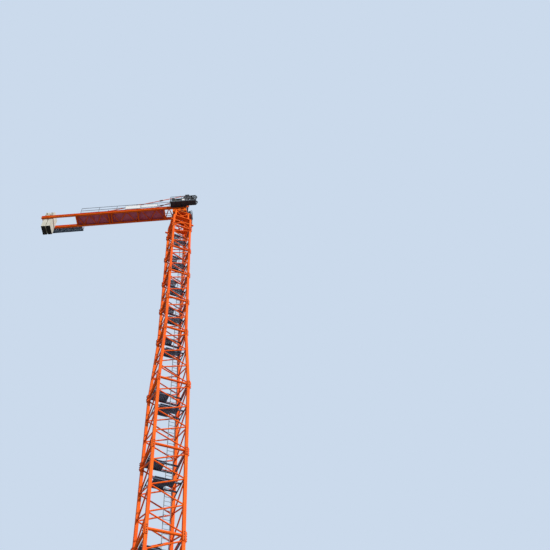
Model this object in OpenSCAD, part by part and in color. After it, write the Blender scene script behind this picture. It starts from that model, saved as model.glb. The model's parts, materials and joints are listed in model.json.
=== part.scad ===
// Tower crane without its jib, as a half-size model, in millimetres.
// Z is up and zero is the ground under the feet. The counter-jib lies along -X and the jib side is +X.

/* [Mast] */
// Height of the base feet, from the ground to the first mast joint
base_h = 575; // [500:25:900]
// Height of one bay of the zigzag bracing
bay_h = 965; // [900:5:1000]
// Number of wide mast sections below the taper
lower_sections = 6; // [2:1:7]
// Bays of bracing in one wide section
lower_bays = 3; // [2:1:4]
// Number of narrow mast sections above the taper
upper_sections = 4; // [1:1:5]
// Bays of bracing in one narrow section
upper_bays = 2; // [1:1:3]
// Distance between chord centres of the wide mast
lower_w = 1000; // [940:10:1100]
// Distance between chord centres of the narrow mast
upper_w = 775; // [740:5:820]
// Side of the square mast chords
chord = 94; // [80:2:104]
// Across flats of the round bracing tubes
brace_d = 44; // [34:2:50]
// Across flats of the level frame tubes
frame_d = 80; // [56:2:84]
// Turn of the mast against the counter-jib, as the crane stands
mast_turn = 26; // [0:1:45]

/* [Base feet] */
// Side of a base plate
foot_plate = 300; // [260:10:360]
// Thickness of a base plate
foot_plate_t = 30; // [20:2:40]
// Radius of an anchor bolt hole
anchor_hole_r = 14; // [10:1:18]
// Diameter of the circle of anchor bolts
anchor_pcd = 320; // [300:5:340]

/* [Slewing ring and head] */
// Height of the lower stage of the fixed support, with the mast's own width
stage_h = 950; // [900:10:1000]
// Height of the whole fixed support, up to the slewing ring
support_h = 1650; // [1600:10:1750]
// Distance between post centres of the upper stage of the support
stage_w = 610; // [580:10:640]
// Outer radius of the slewing ring over its teeth
ring_r = 390; // [380:5:410]
// Height of the fixed slewing ring
ring_h = 56; // [50:2:70]
// Number of teeth on the slewing ring
ring_teeth = 72; // [48:6:96]
// Height of the turning frame, from the ring to the counter-jib beams
head_h = 370; // [340:10:400]
// Height of the head's top above the centre of the beams
apex_h = 1710; // [1400:10:1800]

/* [Counter-jib] */
// Distance between the centres of the two main beams
beam_gap = 562; // [540:2:600]
// Height of a main beam
beam_h = 160; // [140:5:180]
// Width of a main beam's flanges
beam_w = 84; // [70:2:90]
// Distance from the slewing axis to the joint of the two counter-jib sections
joint_u = 3350; // [3200:10:3500]
// Distance from the slewing axis to the outer end of the beams
end_u = 6570; // [6400:10:6700]
// Distance from the slewing axis to the end of the deck, where the ballast bay starts
deck_u = 4950; // [4800:10:5100]
// Height of the handrails above the deck
rail_h = 520; // [480:10:560]

/* [Counterweight] */
// Thickness of one concrete slab along the beams
slab_t = 190; // [170:5:210]
// Height of one slab
slab_h = 1340; // [1200:10:1400]
// Height of a slab's top above the centre of the beams
slab_rise = 560; // [460:10:600]

/* [Hidden] */

paint = "orangered";
seat_gap = 0.3;
lower_l = lower_bays * bay_h;
upper_l = upper_bays * bay_h;
taper_z = base_h + lower_sections * lower_l;
upper_z = taper_z + lower_l;
support_z = upper_z + upper_sections * upper_l;
ring_z = support_z + support_h;
race_rise = 16;
head_z = ring_z + ring_h + race_rise;
beam_z = head_z + head_h;
deck_z = beam_z + beam_h;
apex_z = beam_z + beam_h / 2 + apex_h;
beam_v = beam_gap / 2;

// A round or polygonal bar from point a to point b.
module bar(a, b, d, sides = 6) {
    run = b - a;
    length = norm(run);
    translate(a)
        rotate([0, acos(run.z / length), atan2(run.y, run.x)])
            cylinder(h = length, d = d, $fn = sides);
}

// A square leg whose section stays level, from the centre of its foot to the centre of its head.
module leg(foot, head, side) {
    s = side / 2;
    wide = 4 * max([for (c = concat(foot, head)) abs(c)]) + side;
    module prism(a, b) {
        linear_extrude(height = 2 * wide, center = true)
            polygon([[a - s, foot.z], [a + s, foot.z], [b + s, head.z], [b - s, head.z]]);
    }
    intersection() {
        rotate([90, 0, 0]) prism(foot.x, head.x);
        rotate([90, 0, 90]) prism(foot.y, head.y);
    }
}

// A box given by its lowest and highest corners.
module span_box(low, high) {
    translate(low) cube(high - low);
}

// Open grating on a rim, between two corners, with its bars across the shorter side.
module grating(low, high, pitch = 96, strip = 14) {
    size = high - low;
    rim = strip + 4;
    for (y = [0, size.y - rim]) translate(low + [0, y, 0]) cube([size.x, rim, size.z]);
    n = floor((size.x - strip) / pitch);
    for (i = [0 : n])
        translate(low + [i * (size.x - strip) / n, 0, 0]) cube([strip, size.y, size.z]);
}

// Mast sections: two flat sides with their chords, and two flat sides of bracing between them.
end_clear = 112;
frame_rise = 44;
gusset_t = 16;
gusset_half = 58;
lug = [84, 26, 150];
lug_bite = 8;

// Bars of one side, from z = 0 to h, in the plane y = -w / 2.
// shift 0 starts the zigzag at the right-hand chord and 1 at the left-hand chord.
// inset is the distance from the chord centres to the knots.
module zigzag(wb, wt, h, bays, shift, inset) {
    step = (h - 2 * end_clear) / (2 * bays);
    function half_w(z) = (wb + (wt - wb) * z / h) / 2;
    function hand(i) = (i + shift) % 2 == 0 ? 1 : -1;
    function knot(i) = let (z = end_clear + i * step) [hand(i) * (half_w(z) - inset), -half_w(z), z];
    for (i = [0 : 2 * bays - 1])
        bar(knot(i), knot(i + 1), brace_d);
    bar([-half_w(frame_rise), -half_w(frame_rise), frame_rise],
        [half_w(frame_rise), -half_w(frame_rise), frame_rise], frame_d);
    for (i = [0, 2 * bays])
        translate([hand(i) * (half_w(end_clear) - inset), -half_w(i == 0 ? end_clear : h - end_clear), 0])
            span_box([-gusset_half, -gusset_t / 2, i == 0 ? frame_rise : h - end_clear - gusset_half],
                [gusset_half, gusset_t / 2, i == 0 ? end_clear + gusset_half : h - end_clear + gusset_half]);
}

// Connection blocks on the two outer faces of a chord, at one end of a section.
module chord_lugs(w, z) {
    for (side = [-1, 1]) {
        translate([side * w / 2 - lug.x / 2, -w / 2 - chord / 2 - lug.y, z]) cube([lug.x, lug.y + lug_bite, lug.z]);
        translate([side * (w / 2 + chord / 2 + (lug.y - lug_bite) / 2) - (lug.y + lug_bite) / 2, -w / 2 - lug.x / 2, z])
            cube([lug.y + lug_bite, lug.x, lug.z]);
    }
}

module chord_side(wb, wt, h, bays) {
    zigzag(wb, wt, h, bays, 0, 0);
    for (side = [-1, 1])
        leg([side * wb / 2, -wb / 2, 0], [side * wt / 2, -wt / 2, h], chord);
    chord_lugs(wb, 0);
    chord_lugs(wt, h - lug.z);
}

module bracing_side(wb, wt, h, bays) {
    inner_b = wb / 2 - chord / 2 - seat_gap;
    inner_t = wt / 2 - chord / 2 - seat_gap;
    intersection() {
        zigzag(wb, wt, h, bays, 1, chord / 2 + 12);
        rotate([90, 0, 0])
            linear_extrude(height = wb)
                polygon([[-inner_b, 0], [inner_b, 0], [inner_t, h], [-inner_t, h]]);
    }
}

module mast_section(wb, wt, h, bays) {
    color(paint) {
        for (turn = [0, 180]) rotate([0, 0, turn]) chord_side(wb, wt, h, bays);
        for (turn = [90, 270]) rotate([0, 0, turn]) bracing_side(wb, wt, h, bays);
    }
}

module on_mast(z) {
    rotate([0, 0, mast_turn]) translate([0, 0, z]) children();
}

// Base: four anchor feet with ribs, joined by a cross of paired flats with a plate at its centre.
module base_cross() {
    rib = 12;
    rib_h = 150;
    reach = lower_w / 2 * sqrt(2);
    module foot() {
        difference() {
            translate([-foot_plate / 2, -foot_plate / 2, 0]) cube([foot_plate, foot_plate, foot_plate_t]);
            for (a = [45 : 90 : 315])
                rotate([0, 0, a])
                    translate([anchor_pcd / 2, 0, -1]) cylinder(h = foot_plate_t + 2, r = anchor_hole_r, $fn = 48);
        }
        translate([-chord / 2, -chord / 2, 0]) cube([chord, chord, base_h]);
        for (a = [0 : 90 : 270])
            rotate([0, 0, a])
                translate([0, rib / 2, 0])
                    rotate([90, 0, 0])
                        linear_extrude(height = rib)
                            polygon([[chord / 2 - 5, foot_plate_t - 1], [foot_plate / 2 - 10, foot_plate_t - 1],
                                [foot_plate / 2 - 10, foot_plate_t + 20], [chord / 2, rib_h], [chord / 2 - 5, rib_h]]);
    }
    color(paint)
        on_mast(0) {
            for (x = [-1, 1], y = [-1, 1]) {
                translate([x * lower_w / 2, y * lower_w / 2, 0]) foot();
                translate([x * lower_w / 2, y * lower_w / 2, base_h / 2]) chord_stub_lugs(x, y);
            }
            for (a = [45, 135], side = [-1, 1])
                rotate([0, 0, a])
                    span_box([-reach, side * 36 - 11, 0], [reach, side * 36 + 11, 110]);
            span_box([-150, -150, 0], [150, 150, 20]);
        }
}

// Connection blocks at the top of a base stub.
module chord_stub_lugs(x, y) {
    top = base_h / 2;
    translate([-lug.x / 2, y * (chord / 2 + lug.y / 2 - 1) - lug.y / 2, top - lug.z]) cube([lug.x, lug.y, lug.z]);
    translate([x * (chord / 2 + lug.y / 2 - 1) - lug.y / 2, -lug.x / 2, top - lug.z]) cube([lug.y, lug.x, lug.z]);
}

// Fixed support of the slewing ring: a stage as wide as the mast, and a narrower one with the ring seat.
seat_t = 50;
module slewing_support() {
    half = upper_w / 2;
    inner = stage_w / 2;
    mid = 500;
    post = 76;
    seat_half = inner + 55;
    module post_row(a, side, z, h) {
        for (x = [-1, 1], y = [-1, 1])
            translate([x * a - side / 2, y * a - side / 2, z]) cube([side, side, h]);
    }
    color(paint)
        on_mast(support_z) {
            post_row(half, chord, 0, stage_h - 50);
            post_row(inner, post, stage_h - 1, support_h - stage_h - seat_t + 2);
            for (turn = [0 : 90 : 270])
                rotate([0, 0, turn]) {
                    bar([-half, -half, frame_rise], [half, -half, frame_rise], frame_d);
                    for (side = [-1, 1]) {
                        bar([side * half, -half, 60], [0, -half, mid], brace_d);
                        bar([side * inner, -inner, stage_h + 20], [-side * inner, -inner, support_h - seat_t - 20], 36);
                    }
                    bar([-half, -half, mid], [half, -half, mid], frame_d);
                    chord_lugs(upper_w, 0);
                    // stage top: box girder along each side
                    span_box([-half - chord / 2, -half - chord / 2, stage_h - 51], [half + chord / 2, -inner + post / 2, stage_h]);
                }
            for (side = [-1, 1])
                bar([-half, -side * half, mid], [half, side * half, mid], 36);
            // lifting brackets at the corners of the mid frame
            for (x = [-1, 1], y = [-1, 1])
                translate([x * (half + chord / 2 + 54) - 55, y * half - 30, mid - 30]) cube([110, 60, 60]);
            difference() {
                translate([-seat_half, -seat_half, support_h - seat_t]) cube([2 * seat_half, 2 * seat_half, seat_t]);
                translate([0, 0, support_h - seat_t - 1]) cylinder(h = seat_t + 2, r = ring_r - 110, $fn = 96);
            }
        }
}

// Fixed outer ring with its gear teeth, bolted to the support.
ring_bore_r = ring_r - 62;
module slewing_ring_gear() {
    tooth = 18;
    root_r = ring_r - tooth;
    pitch = 360 / ring_teeth;
    color("dimgray")
        translate([0, 0, ring_z])
            difference() {
                union() {
                    cylinder(h = ring_h, r = root_r, $fn = 144);
                    for (i = [0 : ring_teeth - 1])
                        rotate([0, 0, i * pitch])
                            linear_extrude(height = ring_h)
                                polygon([[root_r - 3, -root_r * sin(pitch) * 0.32], [ring_r, -ring_r * sin(pitch) * 0.16],
                                    [ring_r, ring_r * sin(pitch) * 0.16], [root_r - 3, root_r * sin(pitch) * 0.32]]);
                }
                translate([0, 0, -1]) cylinder(h = ring_h + 2, r = ring_bore_r, $fn = 144);
            }
}

// Turning inner ring: it hangs in the bore and its lip bears on the fixed ring.
module slewing_ring_race() {
    lip = 30;
    running = 5;
    color("gray")
        translate([0, 0, ring_z])
            difference() {
                union() {
                    translate([0, 0, 6]) cylinder(h = ring_h + race_rise - 6, r = ring_bore_r - running, $fn = 144);
                    translate([0, 0, ring_h + seat_gap]) cylinder(h = race_rise - seat_gap, r = ring_bore_r + lip, $fn = 144);
                }
                translate([0, 0, -1]) cylinder(h = ring_h + race_rise + 2, r = ring_r - 110, $fn = 96);
            }
}

// Turning frame between the ring and the counter-jib beams: a plate on the ring and four walls.
frame_half = beam_v + 40;
drive_u = ring_r + 50;
module slewing_frame() {
    plate_t = 30;
    wall = 26;
    color(paint)
        translate([0, 0, head_z]) {
            difference() {
                union() {
                    span_box([-frame_half, -frame_half, 0], [frame_half, frame_half, plate_t]);
                    // bracket that carries the slewing drive
                    span_box([frame_half - 1, -95, 0], [drive_u + 85, 95, plate_t]);
                }
                translate([0, 0, -1]) cylinder(h = plate_t + 2, r = ring_r - 150, $fn = 96);
            }
            for (turn = [0 : 90 : 270])
                rotate([0, 0, turn])
                    difference() {
                        span_box([-frame_half, -frame_half, plate_t - 1], [frame_half, -frame_half + wall, head_h]);
                        for (x = [-130, 130])
                            translate([x, -frame_half - 1, head_h / 2 + 10])
                                rotate([-90, 0, 0]) cylinder(h = wall + 2, r = 84, $fn = 48);
                    }
            for (turn = [0 : 90 : 270])
                rotate([0, 0, turn])
                    span_box([-frame_half, -frame_half, head_h - 30], [frame_half, -beam_v + 40, head_h]);
            // floor between the beams, with the hatch over the mast ladder
            difference() {
                span_box([-beam_v + 39, -beam_v + 39, head_h - 30], [beam_v - 39, beam_v - 39, head_h - 20]);
                span_box([20, -60, head_h - 31], [beam_v - 50, 140, head_h - 19]);
            }
            // arms under the front landing
            for (v = [step_v[0] + 140, step_v[1] - 45])
                span_box([frame_half - 1, v, step_z - head_z - 40], [step_u[1] - 64, v + 30, step_z - head_z]);
        }
}

// Upper head: four legs that lean forward and meet in a cross-head, with the ear for the jib's tie
// and the arms of the rope sheaves.
apex_u = 300;
apex_half = 60;
ear_r = 24;
ear_u = apex_u + apex_half + 130;
sheave_u = 600;
sheave_v = 140;
sheave_z = beam_z + beam_h / 2 + 1250;
sheave_r = 215;
arm_v = 80;
rung_rise = 640;
module crosshead() {
    edge = apex_half + 40;
    span_box([apex_u - edge, -edge, apex_z - 90], [apex_u + edge, edge, apex_z]);
}
module head_frame() {
    rung_z = deck_z + rung_rise;
    part = rung_rise / (apex_z - 60 - deck_z);
    function on_leg(x, y) = [x * beam_v + (apex_u + x * apex_half - x * beam_v) * part,
        y * (beam_v + (apex_half - beam_v) * part), rung_z];
    color("darkslategray") {
        for (x = [-1, 1], y = [-1, 1])
            leg([x * beam_v, y * beam_v, deck_z], [apex_u + x * apex_half, y * apex_half, apex_z - 60], 60);
        crosshead();
        for (e = [-1, 1]) {
            bar(on_leg(-1, e), on_leg(1, e), 44);
            bar(on_leg(e, -1), on_leg(e, 1), 44);
        }
        // arms that carry the rope sheaves
        for (y = [-1, 1])
            translate([0, y * (arm_v + 10), 0])
                difference() {
                    rotate([90, 0, 0])
                        linear_extrude(height = 20, center = true)
                            polygon([[110, sheave_z + 50], [110, sheave_z - 50], [sheave_u, sheave_z - 45],
                                [sheave_u + 50, sheave_z - 45], [sheave_u + 50, sheave_z + 45], [sheave_u, sheave_z + 45]]);
                    translate([sheave_u, 0, sheave_z]) rotate([90, 0, 0]) cylinder(h = 22, r = 24, center = true, $fn = 64);
                }
        difference() {
            span_box([apex_u + apex_half, -20, apex_z - 85], [ear_u + 50, 20, apex_z + 15]);
            translate([ear_u, 0, apex_z - 35])
                rotate([90, 0, 0]) cylinder(h = 60, r = ear_r, center = true, $fn = 64);
        }
    }
}

// Ears at the front ends of the beams, bored for the pins of the jib foot.
jib_pin_u = frame_half + 90;
jib_pin_z = beam_z + 112;
module jib_ear(v) {
    color(paint)
        difference() {
            union() {
                span_box([frame_half, v - 22, beam_z + 20], [jib_pin_u, v + 22, beam_z + 158]);
                translate([jib_pin_u, v, jib_pin_z]) rotate([90, 0, 0]) cylinder(h = 44, r = 46, center = true, $fn = 64);
            }
            translate([jib_pin_u, v, jib_pin_z]) rotate([90, 0, 0]) cylinder(h = 46, r = ear_r, center = true, $fn = 64);
        }
}
module jib_ear_near() { jib_ear(-beam_v); }
module jib_ear_far() { jib_ear(beam_v); }

// Rope sheaves in front of the head, one outside each arm, on one shaft.
module rope_sheaves() {
    color("darkslategray")
        translate([sheave_u, 0, sheave_z])
            rotate([90, 0, 0]) {
                cylinder(h = 2 * sheave_v + 50, r = 23.7, center = true, $fn = 64);
                for (s = [-1, 1])
                    translate([0, 0, s * sheave_v]) {
                        cylinder(h = 46, r = 48, center = true, $fn = 64);
                        cylinder(h = 34, r = sheave_r - 22, center = true, $fn = 96);
                        for (e = [-1, 1]) translate([0, 0, e * 14]) cylinder(h = 10, r = sheave_r, center = true, $fn = 96);
                    }
            }
}

// Small junction box on the middle rail of the platform.
module junction_box() {
    color("lightgray")
        span_box([150, plat_v[0] + 20, plat_z + plat_t + 100], [260, plat_v[0] + 85, plat_z + plat_t + 300]);
}

// Slewing drive in front of the ring: gearbox, motor and fan cowl above the bracket, pinion below it.
module slewing_drive() {
    pinion_r = 44;
    color("dimgray")
        translate([drive_u, 0, head_z + 30]) {
            cylinder(h = 18, r = 80, $fn = 48);
            cylinder(h = 190, r = 66, $fn = 48);
        }
    color("darkslategray")
        translate([drive_u, 0, head_z + 220]) {
            cylinder(h = 18, r = 72, $fn = 48);
            cylinder(h = 190, r = 58, $fn = 48);
            translate([-20, 50, 60]) cube([70, 34, 80]);
            translate([0, 0, 190]) cylinder(h = 30, r = 48, $fn = 48);
        }
    color("dimgray")
        translate([drive_u, 0, ring_z + 6]) {
            difference() {
                cylinder(h = ring_h, r = pinion_r, $fn = 64);
                for (a = [0 : 30 : 330])
                    rotate([0, 0, a]) translate([pinion_r + 3, 0, -1]) cylinder(h = ring_h + 2, r = 9, $fn = 24);
            }
            cylinder(h = head_z - ring_z - 6, r = 30, $fn = 48);
        }
}

// Dark steel platform along the near side of the head: full width beside the head, narrower in front, with a hatch.
plat_u = [-420, 800];
step_in = [350, 50];
plat_v = [-630, -beam_v - beam_w / 2];
plat_z = beam_z + 10;
plat_t = 46;
module head_platform() {
    rib = 20;
    inner_v = plat_v[1] - step_in[1];
    color("darkslategray") {
        difference() {
            union() {
                span_box([plat_u[0], plat_v[0], plat_z + 36], [step_in[0], plat_v[1], plat_z + plat_t]);
                span_box([step_in[0] - 1, plat_v[0], plat_z + 36], [plat_u[1], inner_v, plat_z + plat_t]);
            }
            span_box([plat_u[1] - 250, plat_v[0] + 30, plat_z], [plat_u[1] - 90, plat_v[0] + 160, plat_z + plat_t + 1]);
        }
        span_box([plat_u[0], plat_v[0], plat_z], [plat_u[1], plat_v[0] + rib, plat_z + 37]);
        span_box([plat_u[0], plat_v[1] - rib, plat_z], [step_in[0], plat_v[1], plat_z + 37]);
        span_box([step_in[0] - 1, inner_v - rib, plat_z], [plat_u[1], inner_v, plat_z + 37]);
        for (u = [plat_u[0], -180, 60, step_in[0] - rib])
            span_box([u, plat_v[0], plat_z], [u + rib, plat_v[1], plat_z + 37]);
        for (u = [plat_u[1] - 290, plat_u[1] - rib])
            span_box([u, plat_v[0], plat_z], [u + rib, inner_v, plat_z + 37]);
    }
}

// Posts and two rails round the three open sides of the platform.
module head_railing() {
    z = plat_z + plat_t;
    tube = 20;
    u0 = plat_u[0];
    u1 = plat_u[1];
    v0 = plat_v[0];
    v1 = plat_v[1] - step_in[1] - 30;
    color("dimgray") {
        // posts clear of the line on which the jib's foot pin leaves
        for (u = [u0, -160, 100, jib_pin_u - 90, jib_pin_u + 110, u1 - tube])
            translate([u, v0, z]) cube([tube, tube, rail_h]);
        for (u = [u0, u1 - tube]) translate([u, v1, z]) cube([tube, tube, rail_h]);
        for (h = [rail_h / 2, rail_h]) {
            span_box([u0, v0, z + h - tube], [u1, v0 + tube, z + h]);
            for (u = [u0, u1 - tube]) span_box([u, v0, z + h - tube], [u + tube, v1 + tube, z + h]);
        }
    }
}

// Switch cabinets on the platform: a wide one beside the head and three small ones at the near rail.
// Each is [start along X, width, start along Y, depth, height].
cabinets = [[-80, 370, plat_v[1] - 175, 155, 480], [-345, 110, plat_v[0] + 35, 90, 420],
    [-228, 112, plat_v[0] + 35, 90, 300], [-108, 86, plat_v[0] + 35, 90, 260]];
module switch_cabinets() {
    z = plat_z + plat_t;
    color("gray")
        for (c = cabinets)
            difference() {
                span_box([c[0], c[2], z], [c[0] + c[1], c[2] + c[3], z + c[4]]);
                span_box([c[0] + 12, c[2] - 1, z + 12], [c[0] + c[1] - 12, c[2] + 5, z + c[4] - 12]);
            }
}

// Small landing in front of the turning frame and the ladder that hangs from it.
step_u = [400, 570];
step_v = [85, 330];
step_z = head_z + 240;
landing_rails = [265, 460];
module front_landing() {
    tube = 20;
    floor_t = 36;
    color("darkslategray") {
        span_box([step_u[0], step_v[0], step_z], [step_u[1], step_v[1], step_z + floor_t]);
        // posts clear of the line on which the jib's foot pin leaves
        for (u = [jib_pin_u + 60, step_u[1] - tube], v = [step_v[0], step_v[1] - tube])
            translate([u, v, step_z + floor_t - 1]) cube([tube, tube, landing_rails[1] + tube]);
        for (h = landing_rails) {
            z = step_z + floor_t - 1 + h;
            span_box([step_u[1] - tube, step_v[0], z], [step_u[1], step_v[1], z + tube]);
            for (v = [step_v[0], step_v[1] - tube])
                span_box([jib_pin_u + 60, v, z], [step_u[1], v + tube, z + tube]);
        }
    }
}
ladder_foot_z = support_z + stage_h + 110;
module access_ladder() {
    color("darkslategray")
        translate([step_u[1] - 40, (step_v[0] + step_v[1]) / 2, ladder_foot_z])
            rotate([0, 0, 90]) ladder(step_z - ladder_foot_z);
}

// Tie bars from the cross-head to the beams, just outside the joint of the two sections.
tie_u = -joint_u - 70;
module tie_bars() {
    color(paint)
        for (y = [-1, 1])
            difference() {
                union() {
                    bar([tie_u + 40, y * (beam_v + 8), deck_z + 58], [apex_u - apex_half - 20, y * 60, apex_z - 50], 36, 8);
                    span_box([tie_u - 30, min(y * (beam_v + 10), y * (beam_v + 18)), deck_z + 20],
                        [tie_u + 50, max(y * (beam_v + 10), y * (beam_v + 18)), deck_z + 84]);
                }
                crosshead();
            }
}

// Main beams: rolled I sections.
module beam(u0, u1, v) {
    web = 12;
    flange = 14;
    translate([u0, v, beam_z])
        rotate([90, 0, 90])
            linear_extrude(height = u1 - u0)
                polygon([[-beam_w / 2, 0], [beam_w / 2, 0], [beam_w / 2, flange], [web / 2, flange],
                    [web / 2, beam_h - flange], [beam_w / 2, beam_h - flange], [beam_w / 2, beam_h], [-beam_w / 2, beam_h],
                    [-beam_w / 2, beam_h - flange], [-web / 2, beam_h - flange], [-web / 2, flange], [-beam_w / 2, flange]]);
}

cross_w = 60;
lacing_d = 44;
open_u = 760;
knee_u = 520;
module cross_beam(u) {
    span_box([u - cross_w / 2, -beam_v, beam_z + 14], [u + cross_w / 2, beam_v, beam_z + 110]);
}

// Zigzag in plan between the beams, starting at the near beam.
module lacing(u0, u1, count) {
    step = (u1 - u0) / count;
    for (i = [0 : count - 1])
        bar([u0 + i * step, (i % 2 == 0 ? -1 : 1) * beam_v, beam_z + 50],
            [u0 + (i + 1) * step, (i % 2 == 0 ? 1 : -1) * beam_v, beam_z + 50], lacing_d);
}

module counter_jib_inner() {
    color(paint) {
        for (v = [-beam_v, beam_v]) beam(-joint_u, frame_half, v);
        for (u = [-joint_u + 60, (-joint_u + 60 - open_u) / 2, -open_u]) cross_beam(u);
        lacing(-joint_u + 60, -open_u, 7);
        bar([-open_u, beam_v, beam_z + 50], [-knee_u, -beam_v, beam_z + 50], lacing_d);
        bar([-knee_u, -beam_v, beam_z + 50], [-frame_half - 20, beam_v, beam_z + 50], lacing_d);
    }
}

module counter_jib_outer() {
    color(paint) {
        for (v = [-beam_v, beam_v]) {
            beam(-end_u, -joint_u, v);
            span_box([tie_u - 30, v - 10, deck_z - 1], [tie_u + 20, v + 10, deck_z + 84]);
        }
        for (u = [-joint_u - 60, -deck_u, -end_u + 60]) cross_beam(u);
        lacing(-deck_u, -joint_u - 60, 5);
    }
}

// Deck of open grating between the beams.
deck_t = 24;
module deck(u0, u1) {
    inner = beam_v - 6 - seat_gap;
    z = beam_z + 110;
    color("rosybrown") grating([u0, -inner, z], [u1, inner, z + deck_t]);
}

module deck_inner() { deck(-joint_u + 2, -open_u + 30); }
module deck_outer() { deck(-deck_u, -joint_u - 2); }

// Handrail along the top flange of a beam.
rail_u = [-deck_u + 200, -480];
module railing(v, u0, u1) {
    tube = 22;
    n = ceil((u1 - u0) / 900);
    color("dimgray") {
        for (i = [0 : n])
            translate([u0 + i * (u1 - u0 - tube) / n, v - tube / 2, deck_z]) cube([tube, tube, rail_h]);
        for (h = [rail_h / 2, rail_h])
            span_box([u0, v - tube / 2, deck_z + h - tube], [u1, v + tube / 2, deck_z + h]);
    }
}

module railing_near() { railing(-beam_v - 20, rail_u[0], rail_u[1]); }
module railing_far() { railing(beam_v + 20, rail_u[0], rail_u[1]); }

// Catwalk outside the far beam, beside the ballast bay.
catwalk_w = 240;
catwalk_v = beam_v + beam_w / 2;
catwalk_z = beam_z;
catwalk_u = [-end_u + 20, -deck_u + 190];
module ballast_catwalk() {
    color("slategray")
        grating([catwalk_u[0], catwalk_v, catwalk_z], [catwalk_u[1], catwalk_v + catwalk_w, catwalk_z + 40], 120, 20);
}

module catwalk_railing() {
    v = catwalk_v + catwalk_w - 20;
    z = catwalk_z + 40;
    color("slategray") {
        for (i = [0 : 3])
            translate([catwalk_u[0] + i * (catwalk_u[1] - catwalk_u[0] - 20) / 3, v, z]) cube([20, 20, rail_h]);
        for (h = [rail_h / 2, rail_h])
            span_box([catwalk_u[0], v, z + h - 20], [catwalk_u[1], v + 20, z + h]);
    }
}

// Concrete slabs hung in the ballast bay.
slab_w = beam_gap - beam_w - 12;
slab_z = beam_z + beam_h / 2 + slab_rise - slab_h;
slab_gap = 45;
hanger_drop = 200;
function slab_u(i) = -end_u + 60 + cross_w / 2 + 14 + i * (slab_t + slab_gap);
module counterweight(i) {
    color("lightgray")
        difference() {
            span_box([slab_u(i), -slab_w / 2, slab_z], [slab_u(i) + slab_t, slab_w / 2, slab_z + slab_h]);
            translate([slab_u(i) + slab_t / 2, 0, slab_z + slab_h - hanger_drop])
                rotate([90, 0, 0]) cylinder(h = slab_w + 2, r = 20, center = true, $fn = 48);
        }
}
module counterweight_1() { counterweight(0); }
module counterweight_2() { counterweight(1); }

// Hanger bars through the slabs, resting on posts that stand on the beams.
module slab_hangers() {
    color("dimgray")
        for (i = [0, 1]) {
            u = slab_u(i) + slab_t / 2;
            translate([u, 0, slab_z + slab_h - hanger_drop])
                rotate([90, 0, 0]) cylinder(h = beam_gap + 40, r = 19.7, center = true, $fn = 48);
            for (v = [-1, 1])
                span_box([u - 24, v * beam_v - 20, deck_z], [u + 24, v * beam_v + 20, slab_z + slab_h - hanger_drop + 32]);
        }
}

// Hoist winch across the beams, next to the joint of the two sections.
winch_u = -joint_u + 210;
winch_z = deck_z + 200;
module winch_frame() {
    color("dimgray") {
        for (v = [-1, 1])
            span_box([winch_u - 190, v * 264 - 25, deck_z], [winch_u + 190, v * 264 + 25, deck_z + 50]);
        for (u = [winch_u - 190, winch_u + 140])
            span_box([u, -250, deck_z], [u + 50, 250, deck_z + 49]);
        span_box([winch_u - 141, -240, deck_z], [winch_u + 141, 240, deck_z + 12]);
        for (v = [-200, 60])
            difference() {
                span_box([winch_u - 110, v - 15, deck_z + 10], [winch_u + 110, v + 15, winch_z + 80]);
                translate([winch_u, v, winch_z]) rotate([90, 0, 0]) cylinder(h = 60, r = 30, center = true, $fn = 48);
            }
    }
}
module winch_drum() {
    color("gray")
        translate([winch_u, -70, winch_z])
            rotate([90, 0, 0]) {
                cylinder(h = 228, r = 96, center = true, $fn = 64);
                for (s = [-1, 1]) translate([0, 0, s * 106]) cylinder(h = 16, r = 140, center = true, $fn = 64);
                cylinder(h = 290, r = 29.7, center = true, $fn = 64);
            }
}
module winch_motor() {
    color("darkslategray")
        translate([winch_u, 75, winch_z])
            rotate([-90, 0, 0]) {
                cylinder(h = 52, r = 118, $fn = 48);
                translate([0, 0, 51]) cylinder(h = 96, r = 78, $fn = 48);
                translate([0, 0, 146]) cylinder(h = 16, r = 66, $fn = 48);
            }
}

// Resistor box on the deck near the tower.
module resistor_box() {
    color("darkslategray")
        span_box([-open_u - 300, 40, beam_z + 110 + deck_t], [-open_u, 200, beam_z + 110 + deck_t + 150]);
}

module sign_board() {
    color("white")
        for (panel = [[730, 1460, 60, 400], [1480, 2270, 110, 370]])
            span_box([-joint_u + panel[0], -beam_v - 41, deck_z + panel[2]],
                [-joint_u + panel[1], -beam_v - 31, deck_z + panel[3]]);
}

// Ladders and rest platforms inside the mast.
module ladder(h) {
    rail = 16;
    gauge = 200;
    n = floor(h / 150);
    for (x = [-1, 1]) span_box([x * gauge / 2 - rail / 2, -rail, 0], [x * gauge / 2 + rail / 2, rail, h]);
    for (i = [0 : n - 1]) bar([-gauge / 2, 0, 75 + i * 150], [gauge / 2, 0, 75 + i * 150], 14);
}

function section_z(i) = i < lower_sections ? base_h + i * lower_l
    : i == lower_sections ? taper_z : upper_z + (i - lower_sections - 1) * upper_l;
function section_l(i) = i <= lower_sections ? lower_l : upper_l;
function section_w(i) = i <= lower_sections ? lower_w : upper_w;
section_count = lower_sections + 1 + upper_sections;

ladder_x = 175;
module mast_ladders() {
    color("slategray")
        for (i = [0 : section_count - 1])
            on_mast(section_z(i))
                translate([ladder_x, 0, 0.2]) ladder(section_l(i) - 0.4);
}

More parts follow.
